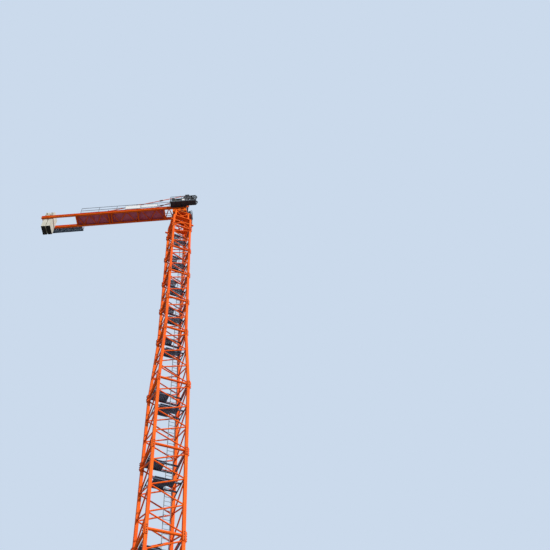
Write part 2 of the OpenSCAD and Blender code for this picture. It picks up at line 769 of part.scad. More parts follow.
// Rest platforms: a back one at the top of each section and a front one a bay lower, each on joists
// between two seat beams that fit between the chords.
module rest_platforms() {
    joist = 30;
    seat = 46;
    module platform(i, z, x0, x1, y0, y1, joists) {
        w = i == lower_sections ? lower_w + (upper_w - lower_w) * z / section_l(i) : section_w(i);
        half = w / 2 - chord / 2 - seat_gap;
        reach = w / 2 - brace_d / 2 - 1;
        color("slategray")
            on_mast(section_z(i) + z) {
                for (x = [-reach, reach - seat / 2]) span_box([x, -half, -seat], [x + seat / 2, half, 0]);
                for (y = joists) span_box([-reach, y * half, -seat], [reach, y * half + joist, 0]);
                difference() {
                    span_box([x0 < -0.9 ? -reach : x0 * half, y0 * half, -1], [x1, y1 * half, 12]);
                    span_box([ladder_x - 116, -16 - seat_gap, -2], [x1 + 1, half, 13]);
                }
            }
    }
    for (i = [0 : section_count - 1]) {
        platform(i, section_l(i) - 60, -1, ladder_x - 115, 0.02, 0.98, [0.1, 0.82]);
        platform(i, section_l(i) - bay_h, -0.72, ladder_x + 116, -0.7, 0.4, [-0.6, 0.2]);
    }
}

base_cross();
for (i = [0 : lower_sections - 1])
    on_mast(section_z(i)) mast_section(lower_w, lower_w, lower_l, lower_bays);
on_mast(taper_z) mast_section(lower_w, upper_w, lower_l, lower_bays);  // taper_section
for (i = [0 : upper_sections - 1])
    on_mast(section_z(lower_sections + 1 + i)) mast_section(upper_w, upper_w, upper_l, upper_bays);
slewing_support();
slewing_ring_gear();
mast_ladders();
rest_platforms();
slewing_ring_race();
slewing_frame();
head_frame();
jib_ear_near();
jib_ear_far();
rope_sheaves();
junction_box();
slewing_drive();
head_platform();
head_railing();
switch_cabinets();
front_landing();
access_ladder();
tie_bars();
counter_jib_inner();
counter_jib_outer();
deck_inner();
deck_outer();
railing_near();
railing_far();
ballast_catwalk();
catwalk_railing();
counterweight_1();
counterweight_2();
slab_hangers();
winch_frame();
winch_drum();
winch_motor();
resistor_box();
sign_board();
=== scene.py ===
import json
import math

import bmesh
import bpy
from mathutils import Matrix, Vector

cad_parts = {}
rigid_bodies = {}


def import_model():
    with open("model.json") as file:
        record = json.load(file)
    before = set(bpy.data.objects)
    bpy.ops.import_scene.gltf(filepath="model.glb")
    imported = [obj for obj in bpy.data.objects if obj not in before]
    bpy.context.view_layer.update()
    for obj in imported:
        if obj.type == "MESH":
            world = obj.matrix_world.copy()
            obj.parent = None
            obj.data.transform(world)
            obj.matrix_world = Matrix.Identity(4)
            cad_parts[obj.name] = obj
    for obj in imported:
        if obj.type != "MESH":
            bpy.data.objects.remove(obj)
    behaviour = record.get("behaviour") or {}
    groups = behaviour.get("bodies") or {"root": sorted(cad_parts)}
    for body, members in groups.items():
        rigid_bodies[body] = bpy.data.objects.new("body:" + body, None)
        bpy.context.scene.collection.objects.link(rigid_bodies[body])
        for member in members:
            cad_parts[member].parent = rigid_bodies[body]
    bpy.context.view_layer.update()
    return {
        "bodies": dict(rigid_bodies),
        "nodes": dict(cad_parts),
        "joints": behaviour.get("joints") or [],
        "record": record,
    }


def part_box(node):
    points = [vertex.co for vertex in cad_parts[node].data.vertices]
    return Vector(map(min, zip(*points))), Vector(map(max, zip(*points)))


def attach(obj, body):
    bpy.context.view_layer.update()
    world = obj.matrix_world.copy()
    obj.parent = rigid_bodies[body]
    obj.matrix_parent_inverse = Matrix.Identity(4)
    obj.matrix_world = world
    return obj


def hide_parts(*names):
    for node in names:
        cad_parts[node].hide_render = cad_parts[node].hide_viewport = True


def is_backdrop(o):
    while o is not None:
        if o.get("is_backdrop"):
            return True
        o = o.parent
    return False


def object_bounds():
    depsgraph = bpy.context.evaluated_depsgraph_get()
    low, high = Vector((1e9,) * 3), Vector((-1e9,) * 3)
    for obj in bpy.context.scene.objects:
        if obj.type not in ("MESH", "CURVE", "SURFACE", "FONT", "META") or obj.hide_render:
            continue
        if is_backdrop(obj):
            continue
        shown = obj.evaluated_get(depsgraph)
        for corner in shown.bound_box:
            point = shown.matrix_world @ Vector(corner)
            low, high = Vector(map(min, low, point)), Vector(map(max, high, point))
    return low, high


scene = bpy.context.scene
for left_over in list(bpy.data.objects):
    bpy.data.objects.remove(left_over)
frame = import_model()
nodes = frame["nodes"]

# Viewpoint: eye height beside the crane's foot, looking steeply up past the mast at the head,
# with the frame tilted as the picture was taken.
eye = Vector((2.659, -15.287, 0.7965))
look = Vector((0.04974547, 0.54146749, 0.83924868))
roll = -0.1572
picture_width, focal_length, sensor_width = 550, 687.68, 36  # pixels, pixels, millimetres
level_right = Vector((look.y, -look.x, 0)).normalized()
level_up = level_right.cross(look)
right = level_right * math.cos(roll) + level_up * math.sin(roll)
up = level_up * math.cos(roll) - level_right * math.sin(roll)
camera = bpy.data.objects.new("camera", bpy.data.cameras.new("camera"))
scene.collection.objects.link(camera)
camera.matrix_world = Matrix.Translation(eye) @ Matrix((right, up, -look)).transposed().to_4x4()
camera.data.sensor_width = sensor_width
camera.data.lens = sensor_width * focal_length / picture_width
camera.data.clip_start, camera.data.clip_end = 0.1, 400
scene.camera = camera

# Studio: a small pale round floor, a soft sun low on the right behind the camera, and a pale sky that
# lights the object less from below than from above, as out of doors.
scene.view_settings.view_transform = "Standard"


def linear(hex_colour):
    channels = [int(hex_colour[i : i + 2], 16) / 255 for i in (1, 3, 5)]
    return tuple(c / 12.92 if c <= 0.04045 else ((c + 0.055) / 1.055) ** 2.4 for c in channels) + (1,)


def add(tree, kind, inputs=(), **settings):
    made = tree.nodes.new(kind)
    for name, value in settings.items():
        setattr(made, name, value)
    for name, value in dict(inputs).items():
        if isinstance(value, bpy.types.NodeSocket):
            tree.links.new(value, made.inputs[name])
        else:
            made.inputs[name].default_value = value
    return made


world = bpy.data.worlds.new("soft_sky")
scene.world = world
world.use_nodes = True
sky = world.node_tree
sky.nodes.clear()
direction = add(sky, "ShaderNodeTexCoord")
height = add(sky, "ShaderNodeSeparateXYZ", {"Vector": direction.outputs["Generated"]})
from_below, from_above = 0.26, 0.74
shade = add(sky, "ShaderNodeMapRange",
            {"Value": height.outputs["Z"], "From Min": -0.1, "From Max": 0.5,
             "To Min": from_below, "To Max": from_above})
light = add(sky, "ShaderNodeBackground", {"Color": linear("#F4F7FB"), "Strength": shade.outputs["Result"]})
backdrop = add(sky, "ShaderNodeBackground", {"Color": linear("#CBDAEC")})
rays = add(sky, "ShaderNodeLightPath")
seen = add(sky, "ShaderNodeMath",
           {0: rays.outputs["Is Camera Ray"], 1: rays.outputs["Is Transmission Ray"]}, operation="MAXIMUM")
mixed = add(sky, "ShaderNodeMixShader", {0: seen.outputs[0], 1: light.outputs[0], 2: backdrop.outputs[0]})
add(sky, "ShaderNodeOutputWorld", {"Surface": mixed.outputs[0]})

key = bpy.data.objects.new("key", bpy.data.lights.new("key", "SUN"))
key.data.energy = 3.0
key.data.angle = math.radians(4)
towards_sun = Vector((0.7, -0.72, 0.36))
key.rotation_euler = towards_sun.to_track_quat("Z", "Y").to_euler()
scene.collection.objects.link(key)


def new_material(name):
    made = bpy.data.materials.new(name)
    made.use_nodes = True
    made.node_tree.nodes.clear()
    return made, made.node_tree


def finish_material(tree, shader_inputs):
    shader = add(tree, "ShaderNodeBsdfPrincipled", shader_inputs)
    add(tree, "ShaderNodeOutputMaterial", {"Surface": shader.outputs[0]})


floor_material, tree = new_material("studio_floor")
finish_material(tree, {"Base Color": linear("#D2D5D8"), "Roughness": 0.9})
floor_mesh = bmesh.new()
bmesh.ops.create_circle(floor_mesh, cap_ends=True, segments=96, radius=5)
floor_data = bpy.data.meshes.new("floor")
floor_mesh.to_mesh(floor_data)
floor_mesh.free()
floor_data.materials.append(floor_material)
floor = bpy.data.objects.new("floor", floor_data)
floor.location.z = -0.002
scene.collection.objects.link(floor)
floor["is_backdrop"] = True


# Painted steelwork: rolled sections and tubes, grit-blasted and sprayed with orange alkyd enamel. It
# wanders in tone over metres, chalks in long streaks, stains brown, and chips off the edges.
def new_finish(name):
    material, tree = new_material(name)
    return material, tree, add(tree, "ShaderNodeTexCoord").outputs


enamel, tree, place = new_finish("orange_alkyd_enamel")
patch = add(tree, "ShaderNodeTexNoise", {"Vector": place["Object"], "Scale": 1.3, "Detail": 3.0})
grime = add(tree, "ShaderNodeTexNoise",
            {"Vector": place["Object"], "Scale": 14.0, "Detail": 6.0, "Roughness": 0.65})
drips = add(tree, "ShaderNodeMapping", {"Vector": place["Object"], "Scale": (22.0, 22.0, 1.6)})
streak = add(tree, "ShaderNodeTexNoise", {"Vector": drips.outputs[0], "Scale": 1.0, "Detail": 4.0})
base = add(tree, "ShaderNodeMixRGB",
           {"Fac": patch.outputs["Fac"], "Color1": linear("#E44410"), "Color2": linear("#F87414")})
chalk = add(tree, "ShaderNodeMapRange",
            {"Value": streak.outputs["Fac"], "From Min": 0.52, "From Max": 0.72, "To Max": 0.45})
faded = add(tree, "ShaderNodeMixRGB",
            {"Fac": chalk.outputs["Result"], "Color1": base.outputs[0], "Color2": linear("#FF8A1E")})
stain = add(tree, "ShaderNodeMapRange",
            {"Value": grime.outputs["Fac"], "From Min": 0.6, "From Max": 0.8, "To Max": 0.4})
colour = add(tree, "ShaderNodeMixRGB",
             {"Fac": stain.outputs["Result"], "Color1": faded.outputs[0], "Color2": linear("#8E2606")})
gloss = add(tree, "ShaderNodeMapRange",
            {"Value": grime.outputs["Fac"], "From Min": 0.3, "From Max": 0.7, "To Min": 0.42, "To Max": 0.7})
rounded = add(tree, "ShaderNodeBevel", {"Radius": 0.005}, samples=4)
flat = add(tree, "ShaderNodeNewGeometry")
turn = add(tree, "ShaderNodeVectorMath",
           {0: rounded.outputs[0], 1: flat.outputs["Normal"]}, operation="DOT_PRODUCT")
edge = add(tree, "ShaderNodeMapRange", {"Value": turn.outputs["Value"], "From Min": 0.99, "From Max": 0.9})
chips = add(tree, "ShaderNodeTexNoise",
            {"Vector": place["Object"], "Scale": 26.0, "Detail": 5.0, "Roughness": 0.7})
bare = add(tree, "ShaderNodeMapRange",
           {"Value": chips.outputs["Fac"], "From Min": 0.5, "From Max": 0.62, "To Max": 0.85})
worn = add(tree, "ShaderNodeMath",
           {0: edge.outputs["Result"], 1: bare.outputs["Result"]}, operation="MULTIPLY")
scuffed = add(tree, "ShaderNodeMixRGB",
              {"Fac": worn.outputs[0], "Color1": colour.outputs[0], "Color2": linear("#6A2A16")})
peel = add(tree, "ShaderNodeTexNoise", {"Vector": place["Object"], "Scale": 90.0, "Detail": 2.0})
relief = add(tree, "ShaderNodeBump", {"Height": peel.outputs["Fac"], "Strength": 0.12, "Distance": 0.002})
finish_material(tree, {"Base Color": scuffed.outputs[0], "Roughness": gloss.outputs["Result"],
                       "Specular IOR Level": 0.1, "Normal": relief.outputs[0]})


def coat(material, *names):
    for name in names:
        nodes[name].data.materials.clear()
        nodes[name].data.materials.append(material)


coat(enamel, "base_cross", "slewing_frame", "jib_ear_near", "jib_ear_far", "tie_bars",
     "counter_jib_inner", "counter_jib_outer")

# Mast sections: four square hollow chords, with round tubes welded between them in a zigzag on every
# side, a heavier round tube level with each foot, end gussets, and connection blocks at both ends.
mast_turn = Matrix.Rotation(math.radians(26), 4, "Z")
base_top, wide_length, narrow_foot, narrow_length = 0.575, 2.895, 20.84, 1.93
wide, narrow = 1.0, 0.775  # spacing of the chords
wide_count, narrow_count = 7, 4  # the last wide one tapers
section_names = [f"mast_section_{i + 1}" for i in range(wide_count - 1)] + ["taper_section"]
section_names += [f"upper_section_{i + 1}" for i in range(narrow_count)]
section_feet = [base_top + wide_length * i for i in range(wide_count + 1)]
section_feet += [narrow_foot + narrow_length * (i + 1) for i in range(narrow_count)]
section_widths = [wide] * wide_count + [narrow] * (narrow_count + 1)
chord, brace_r, frame_r = 0.094, 0.022, 0.04
end_clear, frame_rise, short, past_end = 0.112, 0.044, 0.012, 0.015
connector_half, connector_tall, connector_proud = 0.042, 0.15, 0.026
fillet_sunk, fillet_reach, gusset_half = 0.006, 0.02, Vector((0.058, 0.008, 0.058))
crease_angle, alike = 0.8, 0.15


def new_piece(name, mesh, body, material):
    for face in mesh.faces:
        face.smooth = True
    for edge in mesh.edges:
        # round where facets are alike, and sharp where a narrow bevel meets a wide flat face
        areas = sorted(face.calc_area() for face in edge.link_faces)
        edge.smooth = edge.calc_face_angle(math.pi) < crease_angle and areas[0] > alike * areas[-1]
    data = bpy.data.meshes.new(name)
    mesh.to_mesh(data)
    mesh.free()
    piece = bpy.data.objects.new(name, data)
    scene.collection.objects.link(piece)
    data.materials.append(material)
    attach(piece, body)
    return piece


def facing(point, normal):
    return Matrix.Translation(point) @ Vector(normal).to_track_quat("Z", "Y").to_matrix().to_4x4()


def rod(mesh, start, end, radius, segments=12, tip=None):
    run = Vector(end) - Vector(start)
    middle = (Vector(start) + Vector(end)) / 2
    return bmesh.ops.create_cone(mesh, cap_ends=True, segments=segments, radius1=radius,
                                 radius2=radius if tip is None else tip, depth=run.length,
                                 matrix=facing(middle, run))


def block(mesh, low, high, turn=None):
    low, high = Vector(low), Vector(high)
    place = Matrix.Translation((low + high) / 2) @ Matrix.Diagonal((*(high - low), 1))
    return bmesh.ops.create_cube(mesh, size=1, matrix=turn @ place if turn else place)


def edged_block(mesh, low, high, turn=None, offset=0.003, segments=1):
    made = block(mesh, low, high, turn)
    edges = {e for v in made["verts"] for e in v.link_edges}
    bmesh.ops.bevel(mesh, geom=list(edges), offset=offset, segments=segments, affect="EDGES", profile=0.5,
                    material=-1)


def welded_tube(mesh, place, start, end, radius, face, fillet=0.009, past=0):
    start, end = Vector(start), Vector(end)
    along = (end - start).normalized()
    rod(mesh, place @ (start - along * past), place @ (end + along * past), radius, 24)
    # a weld fillet at each end, where the tube meets the face it stands on
    for knot, way in ((start, along), (end, -along)):
        rod(mesh, place @ (knot + way * (face - fillet_sunk)),
            place @ (knot + way * (face + fillet_reach)), radius + fillet, 24, radius)


def square_post(mesh, place, side):
    made = bmesh.ops.create_cube(mesh, size=1, matrix=place)
    length = max((v.co - w.co).length for v in made["verts"] for w in made["verts"])
    upright = {e for v in made["verts"] for e in v.link_edges if e.calc_length() > length * 0.8}
    bmesh.ops.bevel(mesh, geom=list(upright), offset=side / 10, segments=3, affect="EDGES", profile=0.5,
                    material=-1)


def mast_chord(mesh, foot_width, head_width, height, place):
    foot, head = foot_width / 2, head_width / 2
    lean, middle = foot - head, -(head + foot) / 2
    square_post(mesh, place @ Matrix(((chord, 0, lean, middle), (0, chord, lean, middle),
                                      (0, 0, height, height / 2), (0, 0, 0, 1))), chord)


def mast_side(mesh, foot_width, head_width, height, bays, shift, inset, place):
    def half_width(z):
        return (foot_width + (head_width - foot_width) * z / height) / 2

    step = (height - 2 * end_clear) / (2 * bays)
    knots = []
    for i in range(2 * bays + 1):
        z = end_clear + i * step
        hand = 1 if (i + shift) % 2 == 0 else -1
        knots.append(Vector((hand * (half_width(z) - inset), -half_width(z), z)))
    for start, end in zip(knots, knots[1:]):
        face = (chord / 2 - inset) / abs((end - start).normalized().x)
        welded_tube(mesh, place, start, end, brace_r, face, past=past_end)
    low = half_width(frame_rise)
    welded_tube(mesh, place, (-low, -low, frame_rise), (low, -low, frame_rise), frame_r, chord / 2, 0.004)
    for knot, foot in ((knots[0], frame_rise), (knots[-1], height - end_clear - gusset_half.z)):
        low = knot - gusset_half
        edged_block(mesh, (low.x, low.y, foot), knot + gusset_half, place, 0.002)


def connection_blocks(mesh, place, width, z):
    face, foot, head = -width / 2 - chord / 2, z + 0.0005, z + connector_tall - 0.0005
    for x in (-width / 2, width / 2):
        edged_block(mesh, (x - connector_half, face - connector_proud, foot),
                    (x + connector_half, face + 0.008, head), place)


for number, (name, foot) in enumerate(zip(section_names, section_feet)):
    foot_width, head_width = section_widths[number], section_widths[number + 1]
    height = section_feet[number + 1] - foot
    bays = 3 if number < wide_count else 2
    mesh = bmesh.new()
    for quarter in range(4):
        place = mast_turn @ Matrix.Translation((0, 0, foot)) @ Matrix.Rotation(math.pi / 2 * quarter, 4, "Z")
        # on two sides the zigzag starts on the other hand, and its tubes stop at the chords' faces
        shift = quarter % 2
        mast_side(mesh, foot_width, head_width, height, bays, shift, (chord / 2 + short) * shift, place)
        mast_chord(mesh, foot_width, head_width, height, place)
        connection_blocks(mesh, place, foot_width, 0)
        connection_blocks(mesh, place, head_width, height - connector_tall)
    piece = new_piece(name + "_steelwork", mesh, "mast", enamel)
    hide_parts(name)

# Slewing support: a stage as wide as the mast with chevron bracing and hollow lifting brackets, a box
# girder frame on it, then four posts with crossed tubes and ribs under the bored ring seat.
half, inner, post, cross_r = narrow / 2, 0.305, 0.076, 0.018
mid, stage_top, seat_foot, seat_top = 0.5, 0.95, 1.6, 1.65
seat_half, seat_bore, seat_steps = 0.36, 0.28, 96
girder_in, girder_out, girder_deep = inner - 0.038, half + chord / 2, 0.051


def join_ends(mesh, wall, core, place):
    bmesh.ops.reverse_faces(mesh, faces=list({f for v in core for f in v.link_faces}))
    axis, middle = place.to_3x3() @ Vector((0, 0, 1)), place.to_translation()
    for end in (-1, 1):
        rims = {e for v in wall + core for e in v.link_edges
                if all((q.co - middle).dot(axis) * end > 0 for q in e.verts)}
        bmesh.ops.bridge_loops(mesh, edges=list(rims))
    bmesh.ops.recalc_face_normals(mesh, faces=list({f for v in wall + core for f in v.link_faces}))


mesh = bmesh.new()
stage = mast_turn @ Matrix.Translation((0, 0, section_feet[-1]))
for quarter in range(4):
    place = stage @ Matrix.Rotation(math.pi / 2 * quarter, 4, "Z")
    for reach, side, z0, z1 in ((half, chord, 0, stage_top - 0.05),
                                (inner, post, stage_top - 0.001, seat_foot + 0.001)):
        upright = place @ Matrix.Translation((-reach, -reach, (z0 + z1) / 2))
        square_post(mesh, upright @ Matrix.Diagonal((side, side, z1 - z0, 1)), side)
    for z in (frame_rise, mid):
        welded_tube(mesh, place, (-half, -half, z), (half, -half, z), frame_r, chord / 2, 0.004)
    for side in (-1, 1):
        welded_tube(mesh, place, (side * half, -half, 0.06), (0, -half, mid), brace_r, 0.064)
        welded_tube(mesh, place, (side * inner, -inner, stage_top + 0.02),
                    (-side * inner, -inner, seat_foot - 0.02), cross_r, 0.055, 0.007)
        # gusset under the seat at the head of each post
        edged_block(mesh, (side * (inner - 0.036), -inner - 0.004, seat_foot - 0.11),
                    (side * (inner - 0.12), -inner + 0.004, seat_foot + 0.001), place, 0.002)
    # gussets where the chevrons and the crossed tubes meet
    edged_block(mesh, (-0.09, -half - 0.005, mid - 0.1), (0.09, -half + 0.005, mid - 0.03), place, 0.002)
    edged_block(mesh, (-0.05, -inner - 0.005, 1.235), (0.05, -inner + 0.005, 1.315), place, 0.002)
    connection_blocks(mesh, place, narrow, 0)
    edged_block(mesh, (-girder_in, -girder_out, stage_top - girder_deep),
                (girder_out, -girder_in, stage_top), place)
bracket = Vector((0.055, 0.03, 0.03))
for side in (-1, 1):
    middle, reach = Vector((0, 0, mid)), Vector((half, side * half, 0))
    rod(mesh, stage @ (middle - reach), stage @ (middle + reach), cross_r, 24)
    for y in (-half, half):
        middle = Vector((side * (girder_out + 0.054), y, mid))
        made = block(mesh, middle - bracket, middle + bracket, stage)
        # its outer end is open: the end face is drawn in to the wall's thickness and pushed inwards
        outward = stage.to_3x3() @ Vector((side, 0, 0))
        faces = {f for v in made["verts"] for f in v.link_faces}
        end = max(faces, key=lambda face: face.calc_center_median().dot(outward))
        bmesh.ops.inset_individual(mesh, faces=[end], thickness=0.008, depth=0)
        bmesh.ops.inset_individual(mesh, faces=[end], thickness=0.0005, depth=-0.07)
place = stage @ Matrix.Translation((0, 0, (seat_foot + seat_top) / 2))
stage_verts = set(mesh.verts)
corner = seat_half * math.sqrt(2)
wall = bmesh.ops.create_cone(mesh, cap_ends=False, segments=4, radius1=corner, radius2=corner,
                             depth=seat_top - seat_foot, matrix=place @ Matrix.Rotation(math.pi / 4, 4, "Z"))
rims = {e for v in wall["verts"] for e in v.link_edges if abs(e.verts[0].co.z - e.verts[1].co.z) < 0.001}
bmesh.ops.subdivide_edges(mesh, edges=list(rims), cuts=seat_steps // 4 - 1)
wall = [v for v in mesh.verts if v not in stage_verts]
core = bmesh.ops.create_cone(mesh, cap_ends=False, segments=seat_steps, radius1=seat_bore, radius2=seat_bore,
                             depth=seat_top - seat_foot, matrix=place)["verts"]
join_ends(mesh, wall, core, place)
piece = new_piece("slewing_support_steelwork", mesh, "mast", enamel)
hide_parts("slewing_support")

# Mast bolts: each joint of the chords is held by hexagon bolts through the blocks on the two outer
# faces of every corner, with a washer under the head and the thread end showing. They are zinc-plated
# steel, painted over with the mast and rusting through.
bolt_paint, tree, place = new_finish("overpainted_bolt_steel")
rust = add(tree, "ShaderNodeTexNoise", {"Vector": place["Object"], "Scale": 60.0, "Detail": 4.0})
tone = add(tree, "ShaderNodeMixRGB",
           {"Fac": rust.outputs["Fac"], "Color1": linear("#5E2412"), "Color2": linear("#B8572A")})
finish_material(tree, {"Base Color": tone.outputs[0], "Metallic": 0.2, "Roughness": 0.6})


def bolt(mesh, place, size):
    # washer, hexagon head and the end of the thread
    for sides, low_r, high_r, tall, rise in ((12, 1.25, 1.25, 0.25, 0.125), (6, 1, 0.96, 0.8, 0.6),
                                             (8, 0.5, 0.42, 0.5, 1.2)):
        bmesh.ops.create_cone(mesh, cap_ends=True, segments=sides, radius1=size * low_r,
                              radius2=size * high_r, depth=size * tall,
                              matrix=place @ Matrix.Translation((0, 0, size * rise)))


mesh = bmesh.new()
for foot, width in zip(section_feet, section_widths):
    near, far = width / 2, width / 2 + chord / 2 + connector_proud
    for x in (-1, 1):
        for y in (-1, 1):
            for rise in (-0.11, -0.045, 0.045, 0.11):
                bolt(mesh, mast_turn @ facing((x * near, y * far, foot + rise), (0, y, 0)), 0.017)
                bolt(mesh, mast_turn @ facing((x * far, y * near, foot + rise), (x, 0, 0)), 0.017)
new_piece("mast_bolts", mesh, "mast", bolt_paint)

# Anchor bolts: four zinc-plated studs through each foot plate of the base cross, on a bolt circle, with
# a washer and a nut on each.
plated, tree, place = new_finish("zinc_plated_steel")
dull = add(tree, "ShaderNodeTexNoise", {"Vector": place["Object"], "Scale": 40.0, "Detail": 3.0})
tone = add(tree, "ShaderNodeMixRGB",
           {"Fac": dull.outputs["Fac"], "Color1": linear("#4E3A2C"), "Color2": linear("#8C8074")})
finish_material(tree, {"Base Color": tone.outputs[0], "Metallic": 0.7, "Roughness": 0.5})


def bolt_circle(mesh, place, radius, count, size, start=0):
    for i in range(count):
        angle = math.radians(360 / count * i + start)
        spot = Matrix.Translation((radius * math.cos(angle), radius * math.sin(angle), 0))
        bolt(mesh, place @ spot, size)


mesh = bmesh.new()
foot_top, stud_circle = 0.03, 0.16
for x in (-wide / 2, wide / 2):
    for y in (-wide / 2, wide / 2):
        bolt_circle(mesh, mast_turn @ facing((x, y, foot_top), (0, 0, 1)), stud_circle, 4, 0.021, 45)
new_piece("anchor_nuts", mesh, "mast", plated)

# Ladders: flat stiles with round rungs pushed through and welded, hot-dip galvanised. The zinc is a
# dull blue-grey with a faint spangle.
zinc, tree, place = new_finish("hot_dip_galvanised_steel")
spangle = add(tree, "ShaderNodeTexVoronoi", {"Vector": place["Object"], "Scale": 90.0})
tone = add(tree, "ShaderNodeMixRGB",
           {"Fac": spangle.outputs["Distance"], "Color1": linear("#555C63"), "Color2": linear("#7A8188")})
finish_material(tree, {"Base Color": tone.outputs[0], "Metallic": 0.6, "Roughness": 0.5})
coat(zinc, "mast_ladders")

# Rest platforms in the mast: welded bar grating on channel joists between two seat beams, hot-dip
# galvanised and gone dull grey-blue, with dirt in the mesh.
aged_zinc, tree, place = new_finish("weathered_galvanised_grating")
dirt = add(tree, "ShaderNodeTexNoise", {"Vector": place["Object"], "Scale": 9.0, "Detail": 5.0})
tone = add(tree, "ShaderNodeMixRGB",
           {"Fac": dirt.outputs["Fac"], "Color1": linear("#2E3A4C"), "Color2": linear("#64778F")})
finish_material(tree, {"Base Color": tone.outputs[0], "Metallic": 0.3, "Roughness": 0.62})


def grating(mesh, low, high, pitch, strip, rod_pitch, turn=None):
    low, high = Vector(low), Vector(high)
    count = max(2, round((high.y - low.y) / pitch))
    for i in range(count + 1):
        y = low.y + i * (high.y - low.y - strip) / count
        block(mesh, (low.x, y, low.z), (high.x, y + strip, high.z), turn)
    cross = 0.006  # cross bars, let into the top of the strips
    count = max(2, round((high.x - low.x) / rod_pitch))
    for i in range(count + 1):
        x = low.x + i * (high.x - low.x - cross) / count
        block(mesh, (x, low.y, high.z - 0.009), (x + cross, high.y, high.z - 0.001), turn)
    for x in (low.x, high.x - strip):
        block(mesh, (x, low.y, low.z), (x + strip, high.y, high.z), turn)


mesh = bmesh.new()
ladder_x, ladder_half, ladder_front = 0.175, 0.116, -0.0163
spacing = (0.016, 0.006, 0.05)  # of the strips, their thickness, and of the cross bars
seat_wide, joist_deep, joist_wide, joist_thick, grating_deep = 0.023, 0.046, 0.03, 0.006, 0.012
for number, foot in enumerate(section_feet[:-1]):
    foot_width, head_width = section_widths[number:number + 2]
    length = section_feet[number + 1] - foot
    for upper in (True, False):
        rise = length - (0.06 if upper else 0.965)
        width = foot_width + (head_width - foot_width) * rise / length
        half, reach, z = width / 2 - 0.0473, width / 2 - seat_wide, foot + rise
        for x in (-reach, reach - seat_wide):
            block(mesh, (x, -half, z - joist_deep), (x + seat_wide, half, z), mast_turn)
        for y in (0.1 * half, 0.82 * half) if upper else (-0.6 * half, 0.2 * half):
            for deep, z0, z1 in ((joist_thick, -joist_deep, 0), (joist_wide, -joist_thick, 0),
                                 (joist_wide, -joist_deep, joist_thick - joist_deep)):
                block(mesh, (-reach, y, z + z0), (reach, y + deep, z + z1), mast_turn)
        # the upper one fills the far half beside the ladder, and the lower one goes round the ladder
        floors = [(-0.72 * half, -0.7 * half, ladder_x + ladder_half, ladder_front),
                  (-0.72 * half, ladder_front, ladder_x - ladder_half, 0.4 * half)]
        if upper:
            floors = [(-reach, 0.02 * half, ladder_x - ladder_half, 0.98 * half)]
        for x0, y0, x1, y1 in floors:
            grating(mesh, (x0, y0, z), (x1, y1, z + grating_deep), *spacing, mast_turn)
piece = new_piece("rest_platform_gratings", mesh, "mast", aged_zinc)
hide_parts("rest_platforms")

# Slewing ring: a toothed outer ring bolted up from below to the mast, and a race bolted down to it
# that turns with the head. Both are forged steel, hardened and oiled dark.
ring_steel, tree, place = new_finish("oiled_forged_steel")
oil = add(tree, "ShaderNodeTexNoise", {"Vector": place["Object"], "Scale": 12.0, "Detail": 4.0})
tone = add(tree, "ShaderNodeMixRGB",
           {"Fac": oil.outputs["Fac"], "Color1": linear("#2C2825"), "Color2": linear("#625B53")})
finish_material(tree, {"Base Color": tone.outputs[0], "Metallic": 0.8, "Roughness": 0.4})
coat(ring_steel, "slewing_ring_gear", "slewing_ring_race")
ring_foot, race_top, gear_circle, race_circle = 30.21, 30.312, 0.345, 0.262
mesh = bmesh.new()
bolt_circle(mesh, facing((0, 0, ring_foot - (seat_top - seat_foot)), (0, 0, -1)), gear_circle, 40, 0.016, -4)
new_piece("ring_bolts", mesh, "mast", plated)
mesh = bmesh.new()
bolt_circle(mesh, facing((0, 0, race_top), (0, 0, 1)), race_circle, 36, 0.014)
new_piece("race_bolts", mesh, "upper_works", plated)

# Head platform and hatches: rolled chequer plate on ribs, in blue-black paint that scuffs grey. The
# hatch in the floor of the turning frame is flat plate, orange with the frame.
plate_paint, tree, place = new_finish("painted_chequer_plate")
diagonal = add(tree, "ShaderNodeMapping", {"Vector": place["Object"], "Rotation": (0, 0, 0.785)})
lozenge = add(tree, "ShaderNodeTexBrick",
              {"Vector": diagonal.outputs[0], "Scale": 28.0, "Mortar Size": 0.28, "Mortar Smooth": 0.5,
               "Color1": (1, 1, 1, 1), "Color2": (1, 1, 1, 1), "Mortar": (0, 0, 0, 1)})
scuff = add(tree, "ShaderNodeTexNoise", {"Vector": place["Object"], "Scale": 7.0, "Detail": 5.0})
tone = add(tree, "ShaderNodeMixRGB",
           {"Fac": scuff.outputs["Fac"], "Color1": linear("#151C24"), "Color2": linear("#38424D")})
relief = add(tree, "ShaderNodeBump", {"Height": lozenge.outputs["Color"], "Strength": 0.5, "Distance": 0.002})
finish_material(tree, {"Base Color": tone.outputs[0], "Roughness": 0.55, "Normal": relief.outputs[0]})
coat(plate_paint, "head_platform")
platform_top, frame_floor, plate, hinge_rise = 30.708, 30.632, 0.006, 0.009
mesh = bmesh.new()
block(mesh, (0.54, -0.61, platform_top), (0.72, -0.46, platform_top + plate))
z = platform_top + hinge_rise
for x0, x1, y, radius in ((0.56, 0.6, -0.61, 0.006), (0.66, 0.7, -0.61, 0.006), (0.61, 0.65, -0.48, 0.004)):
    rod(mesh, (x0, y, z), (x1, y, z), radius, 8)
new_piece("platform_hatch_lid", mesh, "upper_works", plate_paint)
mesh = bmesh.new()
block(mesh, (0.005, -0.075, frame_floor), (0.24, 0.155, frame_floor + plate))
z = frame_floor + hinge_rise
for y in (-0.03, 0.11):
    rod(mesh, (0.005, y - 0.02, z), (0.005, y + 0.02, z), 0.005, 8)
new_piece("floor_hatch_lid", mesh, "upper_works", enamel)

# Handrails of the head platform: galvanised tube, welded at the corners, on foot plates held by two
# bolts each, with a kick plate along the edge.
tube, rail_height, kick_foot, kick = 0.011, 0.52, 0.012, 0.05


